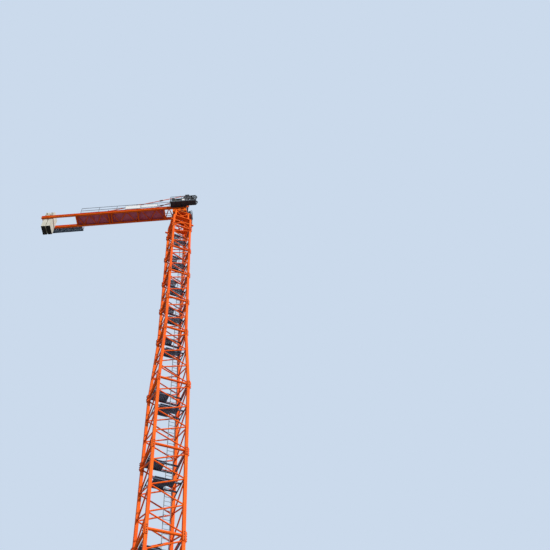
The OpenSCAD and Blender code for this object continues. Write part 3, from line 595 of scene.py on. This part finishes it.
def handrail(mesh, corners, foot_height, rail_height, posts):
    for start, end in zip(corners, corners[1:]):
        start, end = Vector((*start, foot_height)), Vector((*end, foot_height))
        for rise in (rail_height / 2, rail_height - tube):
            lift = Vector((0, 0, rise))
            rod(mesh, start + lift, end + lift, tube)
            for point in (start, end):
                bmesh.ops.create_uvsphere(mesh, u_segments=12, v_segments=6, radius=tube,
                                          matrix=Matrix.Translation(point + lift))
        run = end - start
        board = Matrix.Translation((start + end) / 2) @ run.to_track_quat("X", "Z").to_matrix().to_4x4()
        block(mesh, (-run.length / 2, -0.002, kick_foot), (run.length / 2, 0.002, kick_foot + kick), board)
    for x, y in posts:
        rod(mesh, (x, y, foot_height), (x, y, foot_height + rail_height - tube), tube)
        block(mesh, (x - 0.03, y - 0.022, foot_height), (x + 0.03, y + 0.022, foot_height + plate))
        for dx in (-0.021, 0.021):
            bolt(mesh, facing((x + dx, y, foot_height + plate), (0, 0, 1)), 0.006)


mesh = bmesh.new()
left, right, inside, outside = -0.41, 0.79, -0.39, -0.62
corners = [(left, inside), (left, outside), (right, outside), (right, inside)]
posts = corners + [(x, outside) for x in (-0.15, 0.11, 0.331, 0.531)]
handrail(mesh, corners, platform_top, rail_height, posts)
piece = new_piece("head_handrails", mesh, "upper_works", zinc)
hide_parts("head_railing")

# Front landing above the hanging ladder: a plate floor in an angle frame with a rib under it, and
# round handrails on three sides, welded up and painted blue-black.
dark, tree, place = new_finish("blue_black_steel_paint")
wear = add(tree, "ShaderNodeTexNoise", {"Vector": place["Object"], "Scale": 9.0, "Detail": 5.0})
tone = add(tree, "ShaderNodeMixRGB",
           {"Fac": wear.outputs["Fac"], "Color1": linear("#1A222C"), "Color2": linear("#3E4854")})
finish_material(tree, {"Base Color": tone.outputs[0], "Roughness": 0.6})
coat(dark, "access_ladder")
low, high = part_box("front_landing")
floor_top, leg = low.z + 0.036, 0.005
mesh = bmesh.new()
block(mesh, (low.x, low.y, floor_top - plate), (high.x, high.y, floor_top))
for x in (low.x, high.x - leg):
    edged_block(mesh, (x, low.y, low.z), (x + leg, high.y, floor_top - leg), offset=0.001)
for y in (low.y, (low.y + high.y) / 2, high.y - leg):
    edged_block(mesh, (low.x, y, low.z), (high.x, y + leg, floor_top - leg), offset=0.001)
back, front, near, far = high.x - 0.091, high.x - 0.03, low.y + 0.022, high.y - 0.022
corners = [(back, near), (front, near), (front, far), (back, far)]
handrail(mesh, corners, floor_top, high.z - floor_top, corners)
piece = new_piece("landing_with_rails", mesh, "upper_works", dark)
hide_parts("front_landing")

# Slewing drive: a finned motor on a flanged gear housing, with a cable gland and a wire guard over its
# fan. It is cast iron, in the dark grey machine enamel that the winch and the cabinets have too.
machine, tree, place = new_finish("grey_machine_enamel")
cast = add(tree, "ShaderNodeTexNoise", {"Vector": place["Object"], "Scale": 30.0, "Detail": 4.0})
tone = add(tree, "ShaderNodeMixRGB",
           {"Fac": cast.outputs["Fac"], "Color1": linear("#1F2529"), "Color2": linear("#3D454B")})
relief = add(tree, "ShaderNodeBump", {"Height": cast.outputs["Fac"], "Strength": 0.2, "Distance": 0.002})
finish_material(tree, {"Base Color": tone.outputs[0], "Roughness": 0.45, "Normal": relief.outputs[0]})
coat(machine, "slewing_drive", "switch_cabinets", "winch_frame", "winch_motor")


def cooling_fins(mesh, place, radius, low, high, count, depth=0.009):
    for i in range(count):
        turn = place @ Matrix.Rotation(2 * math.pi * i / count, 4, "Z")
        block(mesh, (radius - 0.002, -0.0015, low), (radius + depth, 0.0015, high), turn)


drive = Vector((0.44, 0, race_top))
upright = facing(drive, (0, 0, 1))
mesh = bmesh.new()
cooling_fins(mesh, upright, 0.058, 0.215, 0.37, 32)
cooling_fins(mesh, upright, 0.066, 0.03, 0.18, 8, 0.012)
for rise, radius, size in ((0.018, 0.073, 0.006), (0.208, 0.065, 0.005)):
    bolt_circle(mesh, upright @ Matrix.Translation((0, 0, rise)), radius, 8, size, 22)
rod(mesh, drive + Vector((0.015, 0.084, 0.29)), drive + Vector((0.015, 0.1, 0.29)), 0.01)
guard = Matrix.Translation(drive + Vector((0, 0, 0.412)))
for i in range(5):
    radius = 0.01 + 0.008 * i
    bmesh.ops.create_cone(mesh, cap_ends=False, segments=32, radius1=radius, radius2=radius, depth=0.006,
                          matrix=guard)
new_piece("slewing_drive_fittings", mesh, "upper_works", machine)


# Switch cabinets: folded sheet with a lipped door, two hinges, a lever lock, louvres and a rain hood;
# the middle one of the small three is olive.
def cabinet_door(mesh, left, width, front, depth, tall):
    right, front, foot, head = left + width, front - 0.0005, platform_top, platform_top + tall
    frame = 0.016
    edged_block(mesh, (left + frame, front - 0.001, foot + frame),
                (right - frame, front + 0.0065, head - frame), offset=0.002, segments=2)
    block(mesh, (left - 0.005, front - 0.012, head), (right + 0.005, front + depth + 0.005, head + plate))
    for z in (foot + 0.04, head - 0.07):
        rod(mesh, (left + 0.013, front - 0.002, z), (left + 0.013, front - 0.002, z + 0.03), 0.004, 8)
    x, z = right - 0.03, foot + tall / 2
    rod(mesh, (x, front, z), (x, front - 0.01, z), 0.007)
    block(mesh, (x - 0.003, front - 0.014, z - 0.03), (x + 0.003, front - 0.009, z + 0.006))
    for i in range(6):
        z = foot + 0.03 + 0.009 * i
        block(mesh, (left + 0.03, front - 0.005, z), (right - 0.04, front, z + 0.004))


mesh = bmesh.new()
cabinet_door(mesh, -0.08, 0.37, -0.498, 0.155, 0.48)
cabinet_door(mesh, -0.345, 0.11, -0.595, 0.09, 0.42)
cabinet_door(mesh, -0.108, 0.086, -0.595, 0.09, 0.26)
new_piece("cabinet_doors", mesh, "upper_works", machine)
olive, tree, place = new_finish("olive_machine_enamel")
fade = add(tree, "ShaderNodeTexNoise", {"Vector": place["Object"], "Scale": 12.0, "Detail": 4.0})
tone = add(tree, "ShaderNodeMixRGB",
           {"Fac": fade.outputs["Fac"], "Color1": linear("#3F4A2C"), "Color2": linear("#66703E")})
finish_material(tree, {"Base Color": tone.outputs[0], "Roughness": 0.5})
mesh = bmesh.new()
cabinet_door(mesh, -0.228, 0.112, -0.595, 0.09, 0.3)
new_piece("olive_cabinet_door", mesh, "upper_works", olive)

# Head and rope sheaves: plate and cast steel, painted black and greasy from the ropes. Each sheave is
# a turned rim with a rope groove on eight ribbed spokes, and its hub runs on the shaft in the arms.
greased, tree, place = new_finish("greased_cast_steel")
smear = add(tree, "ShaderNodeTexNoise", {"Vector": place["Object"], "Scale": 22.0, "Detail": 5.0})
tone = add(tree, "ShaderNodeMixRGB",
           {"Fac": smear.outputs["Fac"], "Color1": linear("#14161A"), "Color2": linear("#3A3D42")})
finish_material(tree, {"Base Color": tone.outputs[0], "Metallic": 0.5, "Roughness": 0.38})
coat(greased, "head_frame")


def mirrored(profile):
    return [(radius, -height) for radius, height in reversed(profile)]


def turned(mesh, profile, place, steps=48):
    points = [mesh.verts.new(place @ Vector((radius, 0, height))) for radius, height in profile]
    edges = [mesh.edges.new(pair) for pair in zip(points, points[1:])]
    axis = place.to_3x3() @ Vector((0, 0, 1))
    bmesh.ops.spin(mesh, geom=points + edges, cent=place.to_translation(), axis=axis, angle=2 * math.pi,
                   steps=steps, use_merge=True)


sheave = Vector((0.6, 0, 31.982))
shaft_r, shaft_half, sheave_y, merge_distance = 0.0237, 0.165, 0.14, 0.00001
rim = [(0.166, -0.019), (0.213, -0.019), (0.215, -0.017), (0.215, -0.013), (0.2, -0.008)]
boss = [(shaft_r, -0.023), (0.045, -0.023), (0.048, -0.02)]
mesh = bmesh.new()
rod(mesh, sheave - Vector((0, shaft_half, 0)), sheave + Vector((0, shaft_half, 0)), shaft_r, 32)
for side in (-1, 1):
    hub = facing(sheave + Vector((0, side * sheave_y, 0)), (0, 1, 0))
    turned(mesh, rim + [(0.1945, 0)] + mirrored(rim) + rim[:1], hub, 64)
    turned(mesh, boss + mirrored(boss) + boss[:1], hub, 40)
    for i in range(8):
        spoke = hub @ Matrix.Rotation(math.radians(45 * i + 20), 4, "Z")
        block(mesh, (0.046, -0.014, -0.004), (0.168, 0.014, 0.004), spoke)
        block(mesh, (0.046, -0.004, -0.015), (0.168, 0.004, 0.015), spoke)
    hub_face = sheave + Vector((0, side * (sheave_y + 0.023), 0))
    bolt_circle(mesh, facing(hub_face, (0, side, 0)), 0.036, 8, 0.005)
bmesh.ops.remove_doubles(mesh, verts=mesh.verts, dist=merge_distance)
bmesh.ops.recalc_face_normals(mesh, faces=mesh.faces)
piece = new_piece("spoked_sheaves", mesh, "upper_works", greased)
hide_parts("rope_sheaves")

# Junction box on the rail: a small sheet housing painted off-white, with a lid, four screws and two
# cable glands below.
white, tree, place = new_finish("white_sign_paint")
dust = add(tree, "ShaderNodeTexNoise", {"Vector": place["Object"], "Scale": 5.0, "Detail": 5.0})
tone = add(tree, "ShaderNodeMixRGB",
           {"Fac": dust.outputs["Fac"], "Color1": linear("#D8DADB"), "Color2": linear("#F4F4F2")})
finish_material(tree, {"Base Color": tone.outputs[0], "Roughness": 0.4})
coat(white, "junction_box", "sign_board")
low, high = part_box("junction_box")
lid_face, lap = high.y + 0.005, 0.002
mesh = bmesh.new()
edged_block(mesh, (low.x - lap, high.y, low.z - lap), (high.x + lap, lid_face, high.z + lap), offset=0.0015,
            segments=2)
for x in (low.x + 0.012, high.x - 0.012):
    for z in (low.z + 0.012, high.z - 0.012):
        bolt(mesh, facing((x, lid_face, z), (0, 1, 0)), 0.004)
y = (low.y + high.y) / 2
for x in (low.x + 0.03, high.x - 0.03):
    rod(mesh, (x, y, low.z), (x, y, low.z - 0.02), 0.009)
new_piece("junction_box_lid", mesh, "upper_works", white)

# Jib ears and head feet: bronze bushes pressed into the bored pin holes, with their flanges proud of
# the cheeks, and under each leg of the head a plate with four bolts into the beams.
bronze, tree, place = new_finish("bearing_bronze")
tarnish = add(tree, "ShaderNodeTexNoise", {"Vector": place["Object"], "Scale": 50.0, "Detail": 3.0})
tone = add(tree, "ShaderNodeMixRGB",
           {"Fac": tarnish.outputs["Fac"], "Color1": linear("#7A5A2C"), "Color2": linear("#B08A4A")})
finish_material(tree, {"Base Color": tone.outputs[0], "Metallic": 0.9, "Roughness": 0.35})


def collar(mesh, place, inner, outer, depth):
    wall, core = [bmesh.ops.create_cone(mesh, cap_ends=False, segments=40, radius1=radius, radius2=radius,
                                        depth=depth, matrix=place)["verts"] for radius in (outer, inner)]
    join_ends(mesh, wall, core, place)


leg_x, beam_y, beam_foot, deck_top = 0.281, 0.281, 30.652, 30.812
ear_pin, head_pin = Vector((0.411, 0, 30.764)), Vector((0.49, 0, 32.407))
bush_bore, bush_flange, bush_proud = 0.0242, 0.033, 0.003
mesh = bmesh.new()
for pin, y, cheek in ((ear_pin, -beam_y, 0.0235), (ear_pin, beam_y, 0.0235), (head_pin, 0, 0.0215)):
    for side in (-1, 1):
        place = facing(pin + Vector((0, y + side * cheek, 0)), (0, 1, 0))
        collar(mesh, place, bush_bore, bush_flange, bush_proud)
new_piece("pin_bushes", mesh, "upper_works", bronze)
mesh = bmesh.new()
foot_plate = Vector((0.06, 0.042, 0.012))
for x in (-leg_x, leg_x):
    for y in (-beam_y, beam_y):
        block(mesh, (x - foot_plate.x, y - foot_plate.y, deck_top), Vector((x, y, deck_top)) + foot_plate)
        for dx in (-0.046, 0.046):
            for dy in (-0.028, 0.028):
                bolt(mesh, facing((x + dx, y + dy, deck_top + foot_plate.z), (0, 0, 1)), 0.007)
new_piece("head_foot_plates", mesh, "upper_works", enamel)

# Tie bars: a zinc-plated pin with a nut through each lower eye, and two splices along each bar, of two
# steel cheeks and four bolts.
mesh = bmesh.new()
for side in (-1, 1):
    eye = Vector((-3.41, side * 0.321, 30.864))
    rod(mesh, eye - Vector((0, side * 0.066, 0)), eye, 0.016)
    bolt(mesh, facing(eye, (0, side, 0)), 0.014)
    start, end = Vector((-3.38, side * 0.289, 30.87)), Vector((0.22, side * 0.06, 32.392))
    for part in (0.34, 0.67):
        splice = Matrix.Translation(start.lerp(end, part))
        splice = splice @ (end - start).to_track_quat("X", "Z").to_matrix().to_4x4()
        for way in (-1, 1):
            block(mesh, (-0.08, way * 0.02 - 0.004, -0.025), (0.08, way * 0.02 + 0.004, 0.025), splice)
            for x in (-0.05, 0.05):
                bolt(mesh, splice @ facing((x, way * 0.024, 0), (0, way, 0)), 0.011)
new_piece("tie_pins", mesh, "upper_works", plated)

# Counter-jib beams: the two lengths meet in a bolted joint with splice plates on the flanges, top and
# bottom, and plate stiffeners are welded into the webs. All of it is orange with the beams.
joint_x, splice_thick, stiffener, first_x, pitch = -3.35, 0.01, 0.005, -0.985, 0.9
web_face, flange_edge, flange = beam_y - 0.006, beam_y - 0.04, 0.014
mesh = bmesh.new()
for side in (-1, 1):
    y = side * beam_y
    for foot, face, way in ((beam_foot - splice_thick, beam_foot - splice_thick, -1),
                            (deck_top, deck_top + splice_thick, 1)):
        block(mesh, (joint_x - 0.13, y - 0.038, foot), (joint_x + 0.13, y + 0.038, foot + splice_thick))
        for dx in (-0.1, -0.04, 0.04, 0.1):
            for dy in (-0.022, 0.022):
                bolt(mesh, facing((joint_x + dx, y + dy, face), (0, 0, way)), 0.007)
    near, far = sorted((side * web_face, side * flange_edge))
    for i in range(6):
        x = first_x - pitch * i
        block(mesh, (x - stiffener, near, beam_foot + flange), (x + stiffener, far, deck_top - flange))
new_piece("beam_splices", mesh, "upper_works", enamel)

# Decks: pressed steel grating laid between the beams, red paint brightened to dusty pink as painted
# light from below, and dull brown on top. The catwalk beside the slabs is galvanised bar grating.
mesh_steel, tree, place = new_finish("deck_mesh_with_painted_underlight")
spray = add(tree, "ShaderNodeTexNoise", {"Vector": place["Object"], "Scale": 6.0, "Detail": 4.0})
# painted light: these pinks stand in for the red paint lit by bluish light from below
tone = add(tree, "ShaderNodeMixRGB",
           {"Fac": spray.outputs["Fac"], "Color1": linear("#BC5068"), "Color2": linear("#E48296")})
faces = add(tree, "ShaderNodeSeparateXYZ", {"Vector": place["Normal"]})
# faces that look up get the dull brown instead of the painted light from below
upward_faces = add(tree, "ShaderNodeMapRange",
            {"Value": faces.outputs["Z"], "From Min": 0.4, "From Max": 0.9, "To Max": 0.9})
underlight_pink_and_brown_top = add(tree, "ShaderNodeMixRGB",
              {"Fac": upward_faces.outputs["Result"], "Color1": tone.outputs[0], "Color2": linear("#6E3F3C")})
finish_material(tree, {"Base Color": underlight_pink_and_brown_top.outputs[0], "Roughness": 0.7})
for name in ("deck_inner", "deck_outer"):
    low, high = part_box(name)
    mesh = bmesh.new()
    grating(mesh, low + Vector((0, 0, 0.016)), high, 0.014, 0.0115, 0.05)
    for y in (low.y, high.y - 0.006):
        block(mesh, (low.x, y, low.z), (high.x, y + 0.006, high.z))
    for i in range(5):
        x = low.x + i * (high.x - low.x - 0.02) / 4
        block(mesh, (x, low.y, low.z), (x + 0.02, high.y, high.z - 0.008))
    piece = new_piece(name + "_mesh", mesh, "upper_works", mesh_steel)
    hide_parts(name)
low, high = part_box("ballast_catwalk")
mesh = bmesh.new()
grating(mesh, low + Vector((0, 0, 0.028)), high, 0.0135, 0.006, 0.04)
for y in (low.y, high.y - 0.008):
    block(mesh, (low.x, y, low.z), (high.x, y + 0.008, high.z))
for i in range(5):
    x = low.x + i * (high.x - low.x - 0.03) / 4
    for leg, rise in ((0.006, 0.03), (0.03, 0.005)):
        block(mesh, (x, low.y, low.z), (x + leg, high.y, low.z + rise))
piece = new_piece("catwalk_grating", mesh, "upper_works", aged_zinc)
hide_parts("ballast_catwalk")


# Handrails of the decks and the catwalk: the same tube, foot plates and kick plates in straight runs,
# galvanised along the decks and painted blue-black along the catwalk.
def straight_handrail(mesh, start, end, y, foot_height, bays):
    posts = [(start + i * (end - start) / bays, y) for i in range(bays + 1)]
    handrail(mesh, [posts[0], posts[-1]], foot_height, rail_height, posts)


rail_y, catwalk_y, catwalk_top = 0.301, 0.553, 30.692
for name, y in (("railing_near", -rail_y), ("railing_far", rail_y)):
    mesh = bmesh.new()
    straight_handrail(mesh, -4.739, -0.491, y, deck_top, 5)
    piece = new_piece(name + "_tubes", mesh, "upper_works", zinc)
    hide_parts(name)
mesh = bmesh.new()
straight_handrail(mesh, -6.54, -4.77, catwalk_y, catwalk_top, 3)
piece = new_piece("catwalk_handrail", mesh, "upper_works", dark)
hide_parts("catwalk_railing")

# Slab hangers: flat steel bars that carry the slabs from the beams, newly hot-dip galvanised and still
# bright, with a coarse spangle in the zinc.
fresh_zinc, tree, place = new_finish("bright_galvanised_steel")
spangle = add(tree, "ShaderNodeTexVoronoi", {"Vector": place["Object"], "Scale": 70.0})
tone = add(tree, "ShaderNodeMixRGB",
           {"Fac": spangle.outputs["Distance"], "Color1": linear("#8C8B80"), "Color2": linear("#BDBBAC")})
finish_material(tree, {"Base Color": tone.outputs[0], "Metallic": 0.3, "Roughness": 0.5})
coat(fresh_zinc, "slab_hangers")

# Counterweight slabs: precast concrete from steel moulds, cream-grey with damp stains and fine pores,
# and near black underneath as painted shade. Each has two loops of bar to lift it by.
concrete, tree, place = new_finish("precast_concrete")
cloud = add(tree, "ShaderNodeTexNoise", {"Vector": place["Object"], "Scale": 4.0, "Detail": 6.0})
runs = add(tree, "ShaderNodeMapping", {"Vector": place["Object"], "Scale": (14.0, 14.0, 1.2)})
damp = add(tree, "ShaderNodeTexNoise", {"Vector": runs.outputs[0], "Scale": 1.0, "Detail": 5.0})
grit = add(tree, "ShaderNodeTexNoise", {"Vector": place["Object"], "Scale": 70.0, "Detail": 3.0})
pores = add(tree, "ShaderNodeTexVoronoi", {"Vector": place["Object"], "Scale": 55.0})
pit = add(tree, "ShaderNodeMapRange",
          {"Value": pores.outputs["Distance"], "From Min": 0.06, "From Max": 0.14})
tone = add(tree, "ShaderNodeMixRGB",
           {"Fac": cloud.outputs["Fac"], "Color1": linear("#B5B2A0"), "Color2": linear("#E4E2D6")})
wet = add(tree, "ShaderNodeMapRange",
          {"Value": damp.outputs["Fac"], "From Min": 0.5, "From Max": 0.75, "To Max": 0.5})
stained = add(tree, "ShaderNodeMixRGB",
              {"Fac": wet.outputs["Result"], "Color1": tone.outputs[0], "Color2": linear("#8F8A78")})
faces = add(tree, "ShaderNodeSeparateXYZ", {"Vector": place["Normal"]})
# painted shade: faces that look down are mixed towards near black, for the shadow under the slabs
below = add(tree, "ShaderNodeMapRange",
            {"Value": faces.outputs["Z"], "From Min": -0.9, "From Max": -0.4, "To Min": 1.0, "To Max": 0.0})
painted_underside_shade = add(tree, "ShaderNodeMixRGB",
           {"Fac": below.outputs["Result"], "Color1": stained.outputs[0], "Color2": linear("#26241F")})
relief = add(tree, "ShaderNodeBump", {"Height": grit.outputs["Fac"], "Strength": 0.3, "Distance": 0.003})
pocked = add(tree, "ShaderNodeBump",
             {"Height": pit.outputs["Result"], "Strength": 0.35, "Distance": 0.003,
              "Normal": relief.outputs[0]})
finish_material(tree, {"Base Color": painted_underside_shade.outputs[0], "Roughness": 0.9, "Normal": pocked.outputs[0]})
coat(concrete, "counterweight_1", "counterweight_2")
mesh = bmesh.new()
for name in ("counterweight_1", "counterweight_2"):
    low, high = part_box(name)
    x, hang, boss_foot, boss_face, bar_face = (low.x + high.x) / 2, high.z - 0.2, 0.2325, 0.24, 0.301
    arc = [math.pi * i / 10 for i in range(11)]
    for y in (-0.12, 0.12):
        loop = [(x, y + 0.035 * math.cos(angle), high.z + 0.03 * math.sin(angle)) for angle in arc]
        for start, end in zip(loop, loop[1:]):
            rod(mesh, start, end, 0.006, 8)
    # hanger pins, with a boss against the slab and a bolt head outside the bar
    for side in (-1, 1):
        rod(mesh, (x, side * boss_foot, hang), (x, side * boss_face, hang), 0.045, 24)
        bolt(mesh, facing((x, side * bar_face, hang), (0, side, 0)), 0.018)
new_piece("slab_lifting_loops", mesh, "upper_works", plated)

# Winch: a steel drum with turned rope grooves between two bearing plates. Its caps are held by four
# bolts each, and the motor beside it has cooling fins and a bolted flange.
winch = Vector((-3.14, -0.07, 31.012))
drum_end = [(0, -0.145), (0.0297, -0.145), (0.0297, -0.114), (0.14, -0.114), (0.14, -0.098), (0.096, -0.098)]
profile = list(drum_end)
for i in range(12):
    z = -0.096 + i * 0.016
    profile += [(0.096, z), (0.0925, z + 0.003), (0.091, z + 0.008), (0.0925, z + 0.013)]
mesh = bmesh.new()
turned(mesh, profile + [(0.096, 0.096)] + mirrored(drum_end), facing(winch, (0, -1, 0)))
bmesh.ops.remove_doubles(mesh, verts=mesh.verts, dist=merge_distance)
bmesh.ops.recalc_face_normals(mesh, faces=mesh.faces)
piece = new_piece("grooved_drum", mesh, "upper_works", ring_steel)
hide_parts("winch_drum")
motor_y, flange_y, bearings = 0.075, 0.127, (-0.2, 0.06)
mesh = bmesh.new()
cooling_fins(mesh, facing((winch.x, motor_y, winch.z), (0, 1, 0)), 0.078, 0.056, 0.14, 30)
bolt_circle(mesh, facing((winch.x, flange_y, winch.z), (0, 1, 0)), 0.1, 8, 0.007, -22)
for y in bearings:
    for side in (-1, 1):
        cap = facing((winch.x, y + side * 0.015, winch.z), (0, side, 0))
        bolt_circle(mesh, cap, 0.045 * math.sqrt(2), 4, 0.006, 45)
new_piece("winch_fittings", mesh, "upper_works", machine)

# Resistor box: a sheet housing painted a dusty orange-brown, with dark pressed louvres in two sides
# that let the heat out, and a lid that laps over it.
primer, tree, place = new_finish("faded_orange_sheet")
blotch = add(tree, "ShaderNodeTexNoise", {"Vector": place["Object"], "Scale": 8.0, "Detail": 4.0})
tone = add(tree, "ShaderNodeMixRGB",
           {"Fac": blotch.outputs["Fac"], "Color1": linear("#9A3A1C"), "Color2": linear("#D8622E")})
finish_material(tree, {"Base Color": tone.outputs[0], "Roughness": 0.6})
coat(primer, "resistor_box")
low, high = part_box("resistor_box")
lap = 0.01
mesh = bmesh.new()
for i in range(9):
    z = low.z + 0.02 + i * 0.013
    for y in (low.y - 0.003, high.y - 0.001):
        block(mesh, (low.x + 0.015, y, z), (high.x - 0.015, y + 0.004, z + 0.005))
block(mesh, (low.x - lap, low.y - lap, high.z), (high.x + lap, high.y + lap, high.z + 0.005))
new_piece("resistor_louvres", mesh, "upper_works", dark)

# Sign boards: aluminium sheet painted white with nothing on it, in a folded edge, and held to the
# handrail by two flat brackets each with small bolts.
front, fold = -0.322, 0.008
mesh = bmesh.new()
for left, right, foot, head in ((-2.62, -1.89, 0.06, 0.4), (-1.87, -1.08, 0.11, 0.37)):
    foot, head = deck_top + foot, deck_top + head
    for x0, x1, z0, z1 in ((left, right, foot, foot + fold), (left, right, head - fold, head),
                           (left, left + fold, foot, head), (right - fold, right, foot, head)):
        block(mesh, (x0, front - 0.004, z0), (x1, front + 0.012, z1))
    for x in (left + 0.12, right - 0.12):
        block(mesh, (x - 0.012, -0.313, foot - 0.02), (x + 0.012, -0.309, head + 0.02))
        for z in (foot + 0.04, head - 0.04):
            bolt(mesh, facing((x, front, z), (0, -1, 0)), 0.004)
new_piece("sign_frames", mesh, "upper_works", zinc)

low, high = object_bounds()
